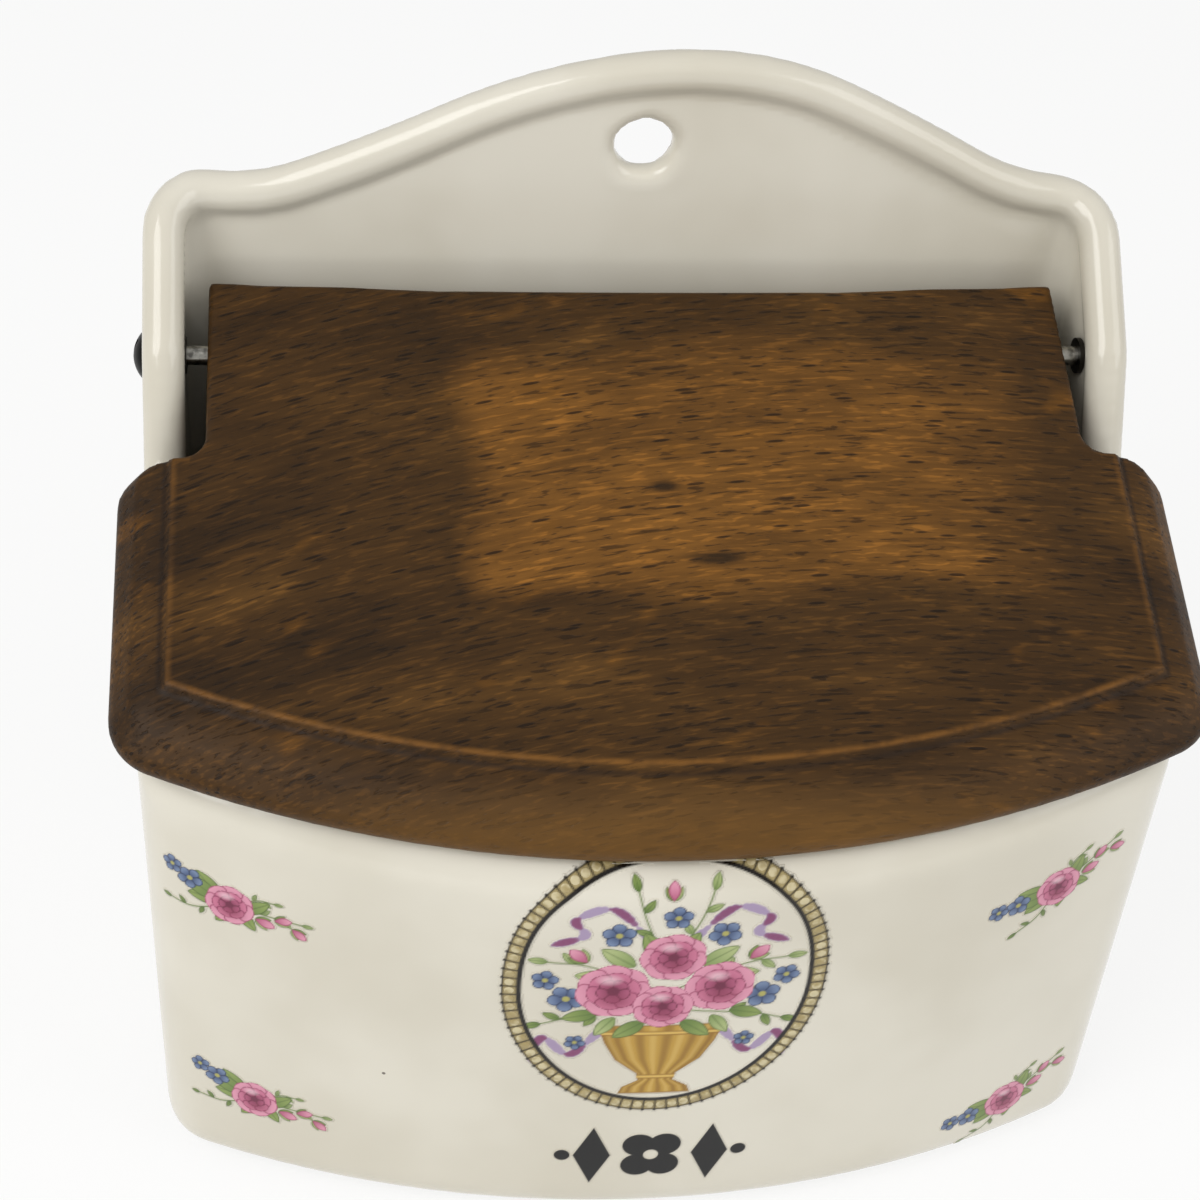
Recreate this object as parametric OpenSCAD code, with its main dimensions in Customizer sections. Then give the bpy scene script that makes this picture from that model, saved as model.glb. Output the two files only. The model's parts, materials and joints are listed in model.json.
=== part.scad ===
// Wall salt box: a glazed ceramic box with a tall back plate, closed by a wooden lid.
// The lid turns on two pivot screws that pass through the ears of the ceramic box.
// Millimetres. +Z is up, the front faces -Y, and the back lies flat on the wall.

/* [Ceramic box] */
// Width across the rolled rim
box_w = 171.6; // [160:1:182]
// Depth from the wall to the front of the box, at the middle
box_depth = 109; // [100:1:120]
// Thickness of the walls
wall_t = 6.2; // [5:0.1:6.6]
// Thickness of the floor
floor_t = 7; // [4:0.5:12]
// Radius of the bow of the front
bow_r = 185; // [150:5:260]
// Radius of the front corners, at the middle of the roll
front_corner_r = 9; // [7:0.5:14]
// Radius of the upright corners at the wall
back_corner_r = 11; // [9:0.5:14]
// How much the walls draw in towards the base, on each side
wall_taper = 1.8; // [0.4:0.2:4]
// How much further the front draws in towards the base
front_taper = 1.7; // [0.1:0.2:4]
// Rounding of the lower edge
base_r = 8; // [4:0.5:9]
// Radius of the inner corner between floor and walls
well_r = 9; // [6:0.5:14]
// Radius of the rounded shoulder under the lid, along the front
shoulder_r = 8; // [5:0.5:8.5]

/* [Rolled rim] */
// Diameter of the rolled rim along the sides, the ears and the back plate
roll_d = 7.4; // [7:0.1:8.6]
// How far the roll stands proud of the outer wall
roll_proud = 0.3; // [0.2:0.05:0.6]

/* [Back plate] */
// Height of the crown of the back plate
plate_h = 177; // [172:1:190]
// Thickness of the back plate
plate_t = 5.2; // [4.5:0.1:5.8]
// Radius of the crown
crown_r = 80; // [70:2:90]
// Steepest angle of the crown's sides, in degrees
crown_angle = 26; // [24:1:30]
// Diameter of the hanging hole
hang_d = 10.5; // [6:0.5:14]
// Height of the hanging hole
hang_h = 159.3; // [155:0.5:164]

/* [Ears] */
// Slope of the upper edge of each ear, in degrees
ear_upper_angle = 45; // [42:1:48]
// Slope of the front edge of each ear, in degrees
ear_front_angle = 66; // [60:1:74]
// Distance from the pivot to the middle of the roll round it
ear_r = 6.4; // [6:0.1:7.4]
// Radius of the hollow bend where the ear runs into the rim
ear_foot_r = 8; // [5:0.5:12]

/* [Lid] */
// Slope of the closed lid, in degrees
lid_slope = 22; // [20:0.5:24]
// Thickness of the lid board
lid_t = 10; // [9:0.5:11]
// Width of the lid across its wings
lid_w = 178.6; // [174:1:184]
// Width of the lid between the ears
tongue_w = 149.6; // [146:0.5:150.5]
// Distance from the pivot back to the rear edge
lid_rear = 12; // [9:0.5:12.5]
// How much the rear edge hollows in at the middle
rear_hollow = 1.7; // [0.5:0.1:3]
// Distance from the pivot forward to the rear edge of the wings
wing_rear = 24; // [23:0.5:28]
// Distance from the pivot forward to the front edge, at the middle
lid_front = 94.8; // [90:1:100]
// Radius of the bow of the lid's front edge
lid_bow_r = 214; // [180:5:260]
// Radius of the front corners of the lid
lid_corner_r = 10; // [6:0.5:14]
// Radius of the rear corners of the wings
wing_corner_r = 6; // [3:0.5:8]
// Radius of the inner corner between tongue and wings
notch_r = 4; // [2:0.5:5]
// Width of the moulded border beside the raised field
border_side = 8.8; // [6:0.2:12]
// Width of the moulded border in front of the raised field
border_front = 12.7; // [8:0.2:16]
// Height of the step between the raised field and the border
field_step = 1.2; // [0.6:0.1:2]
// Thickness of the lid at its outer edge
edge_t = 5.6; // [4.5:0.1:7]

/* [Hinge] */
// Diameter of the pivot screws
screw_d = 3.4; // [2.8:0.1:3.8]
// Distance of the pivot from the wall
pivot_y = 20.2; // [19:0.2:22]
// Height of the pivot
pivot_z = 126.5; // [125:0.5:128]
// Depth that each screw reaches into the lid
screw_in_lid = 10; // [5:0.5:14]
// Diameter of the domed heads
head_d = 9; // [7:0.2:9.6]
// Height of the domed heads
head_h = 2; // [1.4:0.1:2.6]
// Width of the driver slot in the heads
slot_w = 1; // [0.8:0.1:1.2]
// Depth of the driver slot in the heads
slot_h = 0.9; // [0.5:0.1:1]
// Diameter of the retaining washers
washer_d = 6.4; // [5.6:0.1:6.8]
// Thickness of the retaining washers
washer_t = 0.8; // [0.5:0.1:1.2]

/* [Fits] */
// Gap between the closed lid and the rim
lid_gap = 0.3; // [0.2:0.05:0.5]
// Running clearance of the screws in the lid, on the radius
pivot_gap = 0.05; // [0.02:0.01:0.08]
// Clearance of the screws in the ears, on the radius
ear_hole_gap = 0.3; // [0.2:0.05:0.5]
// Extra depth of the screw holes in the lid
hole_end_gap = 1; // [0.5:0.1:2]

/* [Hidden] */

// Colours
glaze_white = "#ece7d8";
stained_beech = "#5a3d1f";
worn_steel = "#8c8c88";
black_finish = "#1c1c1c";

// Number of segments of round cuts, and of the section of the roll
round_fn = 64;
roll_fn = 16;
// Small overlap that makes cuts clean
cut = 1;
// Height of a thin slice inside a hull
slice = 0.01;

// Middle line of the roll, and the faces of the walls from it
roll_r = roll_d / 2;
roll_x = box_w / 2 - roll_r;
wall_out = roll_r - roll_proud;
wall_in = wall_out - wall_t;
outer_x = roll_x + wall_out;
inner_x = roll_x + wall_in;
// How far the walls reach up into the roll, below its middle
roll_sink = 1;

// The rim lies in a plane under the closed lid: its distance below the pivot
rim_drop = lid_t / 2 + lid_gap + roll_r;
rim_y0 = -pivot_y + rim_drop * sin(lid_slope);
rim_z0 = pivot_z - rim_drop * cos(lid_slope);
rim_normal = [0, -sin(lid_slope), cos(lid_slope)];
// Bow and front corners of the roll's middle, in plan
bow_y = bow_r + roll_r - box_depth;
corner_x = roll_x - front_corner_r;
corner_y = bow_y - sqrt(pow(bow_r - front_corner_r, 2) - pow(corner_x, 2));
bow_angle = asin(corner_x / (bow_r - front_corner_r));
shoulder_more = shoulder_r - roll_r;

// Side view of the ears, as [distance along Y, height]
pivot = [-pivot_y, pivot_z];
function along(a) = [cos(a), sin(a)];
function across(a) = [-sin(a), cos(a)];
// Where two lines meet, each given by a point and an angle
function meet(p, a, q, b) =
    p + along(a) * ((q - p) * across(b)) / (along(a) * across(b));
rim_line = [rim_y0, rim_z0];
ear_foot = meet(
    pivot + across(ear_front_angle) * ear_r, ear_front_angle, rim_line, lid_slope
);
ear_foot_tangent = ear_foot_r * tan((ear_front_angle - lid_slope) / 2);
ear_foot_centre =
    ear_foot - along(lid_slope) * ear_foot_tangent + across(lid_slope) * ear_foot_r;
ear_start = ear_foot[0] - ear_foot_tangent * cos(lid_slope);

// The upper edge of the ears turns level while it goes round the upright corner
turn_r = back_corner_r - wall_out;
turn_x = outer_x - back_corner_r;
turn_h = meet(
    pivot + across(ear_upper_angle) * ear_r, ear_upper_angle, [-back_corner_r, 0], 90
)[1];
level_r = turn_r * PI / 2 / sin(ear_upper_angle);
level_h = turn_h + level_r * (1 - cos(ear_upper_angle));

// Crown of the back plate, as [across, height]: two arcs joined by a straight
crown_mid_r = crown_r - roll_r;
crown_drop = plate_h - roll_r - level_h;
both_arcs_r =
    (turn_x * sin(crown_angle) - crown_drop * cos(crown_angle)) / (1 - cos(crown_angle));
crown_centre = [0, plate_h - crown_r];
sweep_centre = [turn_x, level_h + both_arcs_r - crown_mid_r];

// Depth of the whole object, half of which lies behind the origin
lid_nose_depth =
    pivot_y + (lid_front - edge_t / 2) * cos(lid_slope)
    + (lid_t - edge_t) / 2 * sin(lid_slope) + edge_t / 2;
overall_depth = max(box_depth, lid_nose_depth);

// Lid, in its own plane with the pivot as origin: -Y runs to the front edge
lid_top = lid_t / 2;
tongue_x = tongue_w / 2;
edge_x = lid_w / 2;
rear_arc_r = (pow(tongue_x, 2) + pow(rear_hollow, 2)) / (2 * rear_hollow);
rear_arc_angle = asin(tongue_x / rear_arc_r);
border_top = lid_top - field_step;
nose_r = edge_t / 2;
nose_z = nose_r - lid_top;

// Hinge: distances out from the middle
screw_tip_x = tongue_x - screw_in_lid;
dome_r = (pow(head_d / 2, 2) + pow(head_h, 2)) / (2 * head_h);

// Points of an arc round a centre
function arc(c, r, a0, a1, n) =
    [for (i = [0 : n]) let (a = a0 + (a1 - a0) * i / n) c + r * [cos(a), sin(a)]];
function mirrored(points) =
    [for (i = [len(points) - 1 : -1 : 0]) [-points[i][0], points[i][1]]];
function unit(v) = v / norm(v);
function smooth(t) = t * t * (3 - 2 * t);
function front_points(path) = [for (p = path) [p[0], p[2] - roll_sink]];

// Plan of the walls, offset from the roll's middle, between back_y and the drawn-in front
function wall_plan(off, back_y, back_r, draw) =
    let (
        back = arc([roll_x + off - back_r, back_y - back_r], back_r, 90, 0, 8),
        corner = arc([corner_x, corner_y + draw], front_corner_r + off, 0, bow_angle - 90, 8),
        bow = arc([0, bow_y + draw], bow_r + off, bow_angle - 90, -90, 12),
        right = concat(back, corner, [for (i = [1 : 11]) bow[i]])
    )
    concat(right, [bow[12]], mirrored(right));

// Raises a plan point to the rim, where the roll has radius r and touches the lid's gap
function on_rim(p, r) = [
    p[0], p[1],
    pivot_z + (p[1] + pivot_y) * tan(lid_slope) - (lid_t / 2 + lid_gap + r) / cos(lid_slope)
];

// Right half of the roll's middle, each point as [place, outer radius]
function rim_path() = concat(
    [
        for (p = arc([0, bow_y], bow_r - shoulder_more, -90, bow_angle - 90, 10))
        [on_rim(p, shoulder_r), shoulder_r]
    ],
    [
        for (i = [1 : 8])
        let (a = (bow_angle - 90) * (1 - i / 8), r = front_corner_r - shoulder_more)
        [on_rim([corner_x, corner_y] + r * along(a), shoulder_r), shoulder_r]
    ],
    [
        for (i = [1 : 6])
        let (
            r = shoulder_r - shoulder_more * smooth(i / 7),
            y = corner_y + (ear_start - corner_y) * i / 7
        )
        [on_rim([roll_x + roll_r - r, y], r), r]
    ]
);
function ear_path() = [
    for (p = concat(
        arc(ear_foot_centre, ear_foot_r, lid_slope - 90, ear_front_angle - 90, 5),
        arc(pivot, ear_r, 90 + ear_front_angle, 90 + ear_upper_angle, 3)
    ))
    [[roll_x, p[0], p[1]], roll_r]
];
function turn_path() = [
    for (i = [0 : 7])
    let (a = ear_upper_angle * (1 - i / 7), turn = 90 * (1 - sin(a) / sin(ear_upper_angle)))
    [
        [
            turn_x + turn_r * cos(turn), turn_r * sin(turn) - back_corner_r,
            turn_h + level_r * (cos(a) - cos(ear_upper_angle))
        ],
        roll_r
    ]
];
function crown_path() = [
    for (p = concat(
        arc(sweep_centre, both_arcs_r - crown_mid_r, 270, 270 - crown_angle, 5),
        arc(crown_centre, crown_mid_r, 90 - crown_angle, 90, 7)
    ))
    [[p[0], -wall_out, p[1]], roll_r]
];
right_crown = [for (i = [1 : 13]) crown_path()[i]];
rim_count = len(rim_path());
right_path = concat(rim_path(), ear_path(), turn_path(), right_crown);
last = len(right_path) - 1;
roll_path = concat(right_path, [
    for (i = [last - 1 : -1 : 1])
    [[-right_path[i][0][0], right_path[i][0][1], right_path[i][0][2]], right_path[i][1]]
]);

// Outer radius of the roll, which is flush with the wall at the shoulder
function outer_radius(r) = r - roll_proud * (r - roll_r) / shoulder_more;
function ahead_at(i) =
    let (n = len(roll_path)) unit(roll_path[(i + 1) % n][0] - roll_path[(i + n - 1) % n][0]);

// Section of the roll at one point of its path: fuller on the outside at the shoulder
function roll_section(i) =
    let (
        ahead = ahead_at(i),
        out = unit(cross(ahead, rim_normal)),
        up = cross(out, ahead),
        r = roll_path[i][1],
        out_r = outer_radius(r)
    )
    [
        for (k = [0 : roll_fn - 1]) let (a = (k + 0.5) * 360 / roll_fn)
        roll_path[i][0] + out * cos(a) * (cos(a) > 0 ? out_r : roll_r) + up * sin(a) * r
    ];

// Moves the object from the wall, so that the origin is the middle of its base
module from_wall() {
    translate([0, overall_depth / 2, 0])
        children();
}

// Turns the plane of the lid, with the pivot as its origin, into place
module on_pivot() {
    translate([0, -pivot_y, pivot_z])
        rotate([lid_slope, 0, 0])
            children();
}

// Draws its children on both sides
module both_sides() {
    children();
    mirror([1, 0, 0])
        children();
}

// Thin level slice of the walls' plan
module wall_slice(off, back_y, back_r, draw, z) {
    translate([0, 0, z])
        linear_extrude(slice)
            polygon(wall_plan(off, back_y, back_r, draw));
}

// Thin slice of the walls' plan in the plane of the rim
module rim_slice(off, back_y, back_r) {
    intersection() {
        linear_extrude(plate_h)
            polygon(wall_plan(off, back_y, back_r, 0));
        on_pivot()
            translate([-box_w, -box_depth * 2, -rim_drop])
                cube([box_w * 2, box_depth * 3, slice]);
    }
}

// Tall block with the walls' plan: rounded at its foot, and opening out up to the rim
module wall_block(off, back_y, back_r, foot_z, foot_r, top) {
    hull() {
        for (a = [0 : 22.5 : 90]) {
            inset = foot_r * (1 - sin(a));
            wall_slice(
                off - wall_taper - inset, back_y - inset,
                back_r * (1 - 0.8 * inset / foot_r), front_taper,
                foot_z + foot_r * (1 - cos(a))
            );
        }
        rim_slice(off, back_y, back_r);
        wall_slice(off, back_y, back_r, 0, top);
    }
}

// Edge of the walls in the side view: a little under the middle of the roll
function side_edge() = [
    for (i = [0 : last])
    let (p = right_path[i][0], out = unit(cross(ahead_at(i), rim_normal)), r = right_path[i][1])
    if (p[1] < -plate_t - cut)
    [p[1] + (i < rim_count ? min(out[1], 0) * outer_radius(r) : 0), p[2] - roll_sink]
];

// Everything under the middle of the roll, seen from the side
module side_outline() {
    edge = side_edge();
    rotate([90, 0, 90])
        translate([0, 0, -box_w / 2])
            linear_extrude(box_w)
                polygon(concat(
                    [[-box_depth, -cut], [-box_depth, edge[0][1]]], edge,
                    [[-plate_t - slice, level_h], [-plate_t - slice, plate_h]],
                    [[cut, plate_h], [cut, -cut]]
                ));
}

// Everything under the middle of the roll, seen from the front
module front_outline() {
    crown = front_points([for (p = crown_path()) p[0]]);
    right = concat([[box_w / 2, -cut], [box_w / 2, level_h - roll_sink]], crown);
    rotate([90, 0, 0])
        translate([0, 0, -cut])
            linear_extrude(box_depth + 2 * cut)
                polygon(concat(right, mirrored([for (i = [0 : len(right) - 2]) right[i]])));
}

// Floor, walls, ears and back plate, as far as the roll
module walls() {
    difference() {
        intersection() {
            wall_block(wall_out, 0, back_corner_r, 0, base_r, plate_h);
            side_outline();
            front_outline();
        }
        wall_block(wall_in, -plate_t, back_corner_r - wall_t, floor_t, well_r, plate_h + cut);
    }
}

// Rolled rim: one closed loop round the front, up the ears and over the back plate
module rolled_rim() {
    n = len(roll_path);
    intersection() {
        polyhedron(
            points = [for (i = [0 : n - 1]) each roll_section(i)],
            faces = [
                for (i = [0 : n - 1]) for (k = [0 : roll_fn - 1])
                let (
                    a = i * roll_fn + k, b = i * roll_fn + (k + 1) % roll_fn,
                    c = (i + 1) % n * roll_fn + k,
                    d = (i + 1) % n * roll_fn + (k + 1) % roll_fn
                )
                each [[a, b, c], [b, d, c]]
            ]
        );
        translate([-box_w, -2 * box_depth, 0])
            cube([2 * box_w, 2 * box_depth, 2 * plate_h]);
    }
}

module ceramic_box() {
    color(glaze_white)
        from_wall()
            difference() {
                union() {
                    walls();
                    rolled_rim();
                }
                // Hanging hole
                translate([0, cut, hang_h])
                    rotate([90, 0, 0])
                        cylinder(d = hang_d, h = plate_t + 2 * cut, $fn = round_fn);
                // Screw holes through the ears
                both_sides()
                    translate([inner_x - roll_r, -pivot_y, pivot_z])
                        rotate([0, 90, 0])
                            cylinder(
                                r = screw_d / 2 + ear_hole_gap,
                                h = wall_t + 2 * roll_r, $fn = round_fn
                            );
            }
}

// Outline of the lid's wings and front, drawn in from its edge by side and front
function wing_plan(side, front, corner_r) =
    let (
        x = edge_x - side,
        bow_y = lid_bow_r - lid_front + front,
        corner = [x - corner_r, bow_y - sqrt(
            pow(lid_bow_r - corner_r, 2) - pow(x - corner_r, 2)
        )],
        bow_a = asin(corner[0] / (lid_bow_r - corner_r)),
        rear_r = min(wing_corner_r, wing_corner_r * corner_r / lid_corner_r),
        rear = arc([x - rear_r, -wing_rear - rear_r], rear_r, 90, 0, 6),
        bow = arc([0, bow_y], lid_bow_r, bow_a - 90, -90, 16),
        right = concat(rear, arc(corner, corner_r, 0, bow_a - 90, 8), [
            for (i = [1 : 15]) bow[i]
        ])
    )
    concat(right, [[0, front - lid_front]], mirrored(right));

// Thin slice of the wings at a height over the pivot
module wing_slice(side, front, corner_r, z) {
    translate([0, 0, z])
        linear_extrude(slice)
            polygon(wing_plan(side, front, corner_r));
}

// Wings and front of the board, with a rounded nose and a border that rises to the field
module wing_board() {
    hull() {
        for (a = [-90 : 22.5 : 90]) {
            inset = nose_r * (1 - cos(a));
            wing_slice(inset, inset, lid_corner_r - inset, nose_z + nose_r * sin(a));
        }
        for (t = [0.4 : 0.2 : 1]) {
            wing_slice(
                border_side * t, border_front * t, lid_corner_r * (1 - t) + slice,
                nose_z + nose_r + (border_top - nose_z - nose_r) * sin(90 * t) - slice
            );
        }
    }
}

// Raised field in front of the ears
module raised_field() {
    linear_extrude(lid_top)
        polygon(wing_plan(border_side, border_front, slice));
}

// Tongue between the ears, with a hollowed rear edge
module tongue() {
    rear = arc(
        [0, lid_rear - rear_hollow + rear_arc_r], rear_arc_r,
        270 + rear_arc_angle, 270 - rear_arc_angle, 24
    );
    foot = -wing_rear - lid_corner_r;
    translate([0, 0, -lid_top])
        linear_extrude(lid_t)
            union() {
                polygon(concat(rear, [[-tongue_x, foot], [tongue_x, foot]]));
                both_sides()
                    notch_fillet();
            }
}

// Fills the inner corner between the tongue and one wing
module notch_fillet() {
    centre = [tongue_x + notch_r, notch_r - wing_rear];
    polygon(concat(
        arc(centre, notch_r, 270, 180, 8), [[tongue_x - cut, centre[1]]],
        [[tongue_x - cut, -wing_rear - cut], [centre[0], -wing_rear - cut]]
    ));
}

module lid() {
    color(stained_beech)
        from_wall()
        on_pivot()
            difference() {
                union() {
                    wing_board();
                    raised_field();
                    tongue();
                }
                // Blind holes that turn on the pivot screws
                both_sides()
                    translate([screw_tip_x - hole_end_gap, 0, 0])
                        rotate([0, 90, 0])
                            cylinder(
                                r = screw_d / 2 + pivot_gap,
                                h = screw_in_lid + hole_end_gap + cut, $fn = round_fn
                            );
            }
}

// Pivot screw: domed, slotted head outside the ear and a smooth shank into the lid
module pivot_screw() {
    translate([screw_tip_x, -pivot_y, pivot_z])
        rotate([0, 90, 0])
            cylinder(d = screw_d, h = outer_x - screw_tip_x + head_h / 2, $fn = round_fn);
    translate([outer_x, -pivot_y, pivot_z])
        rotate([0, 90, 0])
            difference() {
                intersection() {
                    cylinder(d = head_d, h = head_h, $fn = round_fn);
                    translate([0, 0, head_h - dome_r])
                        sphere(dome_r, $fn = round_fn);
                }
                translate([-head_d, -slot_w / 2, head_h - slot_h])
                    cube([head_d * 2, slot_w, head_h]);
            }
}

// Retaining washer: grips the shank inside the ear
module retaining_washer() {
    translate([inner_x - washer_t, -pivot_y, pivot_z])
        rotate([0, 90, 0])
            difference() {
                cylinder(d = washer_d, h = washer_t, $fn = round_fn);
                translate([0, 0, -cut])
                    cylinder(d = screw_d, h = washer_t + 2 * cut, $fn = round_fn);
            }
}

module right_pivot_screw() {
    color(black_finish)
        from_wall()
            pivot_screw();
}

module left_pivot_screw() {
    color(black_finish)
        mirror([1, 0, 0])
            from_wall()
                pivot_screw();
}

module right_retaining_washer() {
    color(worn_steel)
        from_wall()
            retaining_washer();
}

module left_retaining_washer() {
    color(worn_steel)
        mirror([1, 0, 0])
            from_wall()
                retaining_washer();
}

ceramic_box();
lid();
left_pivot_screw();
right_pivot_screw();
left_retaining_washer();
right_retaining_washer();
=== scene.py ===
"""Wall salt box: glazed earthenware with printed flowers, and a stained beech lid on two pivot screws.

Metres throughout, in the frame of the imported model: +Z up, the bowed front faces -Y.
"""

import json
import math

import bpy
import numpy as np
from mathutils import Matrix, Vector
from mathutils.bvhtree import BVHTree


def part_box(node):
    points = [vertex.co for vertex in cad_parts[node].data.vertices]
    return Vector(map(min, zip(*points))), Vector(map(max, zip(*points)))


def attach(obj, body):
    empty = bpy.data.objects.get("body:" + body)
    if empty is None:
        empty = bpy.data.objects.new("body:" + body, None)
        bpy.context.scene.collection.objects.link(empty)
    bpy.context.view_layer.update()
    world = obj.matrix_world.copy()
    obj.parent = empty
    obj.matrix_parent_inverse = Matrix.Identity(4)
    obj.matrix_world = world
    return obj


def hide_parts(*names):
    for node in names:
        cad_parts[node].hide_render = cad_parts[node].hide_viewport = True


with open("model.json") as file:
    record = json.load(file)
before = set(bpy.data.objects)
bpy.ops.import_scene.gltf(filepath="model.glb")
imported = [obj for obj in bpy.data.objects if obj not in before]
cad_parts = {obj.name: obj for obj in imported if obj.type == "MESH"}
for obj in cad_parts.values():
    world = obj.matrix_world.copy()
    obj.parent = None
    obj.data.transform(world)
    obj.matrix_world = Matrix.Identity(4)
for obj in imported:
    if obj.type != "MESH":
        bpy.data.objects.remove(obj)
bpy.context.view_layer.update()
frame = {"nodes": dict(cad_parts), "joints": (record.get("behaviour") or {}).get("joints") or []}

MM = 0.001
BOX_LOW, BOX_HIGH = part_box("ceramic_box")
LID_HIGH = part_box("lid")[1]
HINGE = Vector(next(j for j in frame["joints"] if j["name"] == "lid_hinge")["pos_m"])

# The closed lid slopes down to the front; this is its raised field, from the hinge.
LID_SLOPE = math.radians(22)
FIELD_HALF = 80.5 * MM
FIELD_REAR = -24 * MM
FIELD_FRONT = -82.1 * MM
FIELD_BOW = 214 * MM

# The grain lies level at this place across the lid, and bows by this much, per metre.
GRAIN_LEVEL = 40 * MM
GRAIN_BOW = 1.7

# Marks on the lid, in millimetres to the right of the middle and up the slope from the hinge:
# the limits of the rubbed patch and the middles of two knots.
RUBBED_ACROSS = (-33.0, 66.0)
RUBBED_ALONG = (-53.0, 1.0)
ROUND_KNOT = (1.0, -30.5)
LONG_KNOT = (8.4, -44.5)

# Cells of the meshes that the softened box and lid are made of.
BOX_VOXEL = 1.2 * MM
LID_VOXEL = 0.7 * MM

# Outer face of the ears, where the black heads of the screws begin.
HEAD_FACE = BOX_HIGH[0] - 0.4 * MM

# The crown leans to the right: its half width, how far its slopes move and how deep under
# the top the move reaches, in millimetres.
CROWN_HALF = 78.0
CROWN_LEAN = 2.7
CROWN_REACH = 15.0

# Front of the box, in millimetres: a bow in plan, upright corners and a rounded top edge.
BOW_R = 188.4
BOW_END = 80.7
CORNER_R = 12.4
TOP_EDGE_R = 6.45
TOP_EDGE_Z = 80.6
BOW_CENTRE_Y = BOX_LOW[1] / MM + BOW_R

# Medallion on the unrolled front: its middle and its half sizes outside, in millimetres.
RING_MIDDLE = (-1.1, 60.7)
RING_HALF = 26.9
RING_TALL = 30.7
RING_BAND = 3.0
BEADS = 88
BEAD_SIZE = (1.6 * MM, 1.75 * MM, 0.26 * MM)

# The print stands this far out of the glaze, and its closed skin reaches this far under it.
PRINT_LIFT = 0.07
PRINT_DEPTH = 0.3
OUTLINE_INK = "#2b241a"
ORNAMENT_INK = "#0d0c0c"
BOWL_INK = "#8a6424"


# ---------------------------------------------------------------- nodes and colours
def colour(hex_code):
    """sRGB hex to linear RGBA."""
    srgb = np.array([int(hex_code[i : i + 2], 16) / 255 for i in (1, 3, 5)])
    linear = np.where(srgb <= 0.04045, srgb / 12.92, ((srgb + 0.055) / 1.055) ** 2.4)
    return tuple(linear) + (1.0,)


def add(tree, kind, inputs=None, stops=(), **settings):
    """Adds a node with its settings.

    An input, by name or by number, is a value, a socket to link from, or a node that gives
    its first output. The stops of a colour ramp are places with a grey value or a colour.
    """
    made = tree.nodes.new(kind)
    for name, value in settings.items():
        setattr(made, name, value)
    for name, value in (inputs or {}).items():
        if isinstance(value, bpy.types.Node):
            value = value.outputs[0]
        if isinstance(value, bpy.types.NodeSocket):
            tree.links.new(value, made.inputs[name])
        else:
            made.inputs[name].default_value = value
    if stops:
        made.color_ramp.interpolation = "EASE"
        elements = made.color_ramp.elements
        while len(elements) < len(stops):
            elements.new(0.5)
        for element, (place, value) in zip(elements, stops):
            element.position = place
            element.color = value if isinstance(value, tuple) else (value, value, value, 1)
    return made


def coated(tree, base, coats):
    """Lays coats over a base colour, each with its share, its colour and its way of mixing."""
    for share, over, way in coats:
        # A Mix node's colours are its inputs 6 and 7 and its output 2.
        mixed = add(
            tree, "ShaderNodeMix", {0: share, 6: base, 7: over}, data_type="RGBA", blend_type=way
        )
        base = mixed.outputs[2]
    return base


def new_material(name):
    """A material with an empty node tree, and the tree."""
    material = bpy.data.materials.new(name)
    material.use_nodes = True
    material.node_tree.nodes.clear()
    return material, material.node_tree


def finish_material(tree, surface):
    add(tree, "ShaderNodeOutputMaterial", {"Surface": surface})


# ---------------------------------------------------------------- materials
def glaze_base(tree):
    """Cream-white earthenware glaze: soft warm and grey patches, and a few iron specks."""
    place = add(tree, "ShaderNodeTexCoord").outputs["Object"]
    cloud = add(tree, "ShaderNodeTexNoise", {"Vector": place, "Scale": 1 / (45 * MM), "Detail": 3.0})
    cream = add(
        tree,
        "ShaderNodeValToRGB",
        {"Fac": cloud},
        stops=[(0.32, colour("#cfc9b9")), (0.68, colour("#dbd6c8"))],
    )
    # Specks mostly 0.3 to 0.8 mm across, centimetres apart; most cells of the pattern have none.
    cells = add(tree, "ShaderNodeTexVoronoi", {"Vector": place, "Scale": 1 / (11 * MM)})
    chance = add(tree, "ShaderNodeMath", {0: cells.outputs["Color"], 1: 0.62}, operation="SUBTRACT")
    size = add(tree, "ShaderNodeMath", {0: chance, 1: 0.2}, operation="MULTIPLY")
    speck = add(
        tree, "ShaderNodeMath", {0: cells.outputs["Distance"], 1: size}, operation="LESS_THAN"
    )
    share = add(tree, "ShaderNodeMath", {0: speck, 1: 0.8}, operation="MULTIPLY")
    base = coated(tree, cream, [(share, colour("#3a2c20"), "MIX")])
    wave = add(tree, "ShaderNodeTexNoise", {"Vector": place, "Scale": 1 / (16 * MM), "Detail": 1.0})
    bump = add(tree, "ShaderNodeBump", {"Height": wave, "Strength": 0.12, "Distance": 0.6 * MM})
    return base, bump


def glazed_earthenware():
    """Lead-type glaze over a cream body: hard gloss with a faintly wavy surface."""
    material, tree = new_material("glazed_earthenware")
    base, normal = glaze_base(tree)
    shader = add(
        tree,
        "ShaderNodeBsdfPrincipled",
        {"Base Color": base, "Roughness": 0.14, "IOR": 1.52, "Normal": normal},
    )
    finish_material(tree, shader)
    return material


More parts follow.
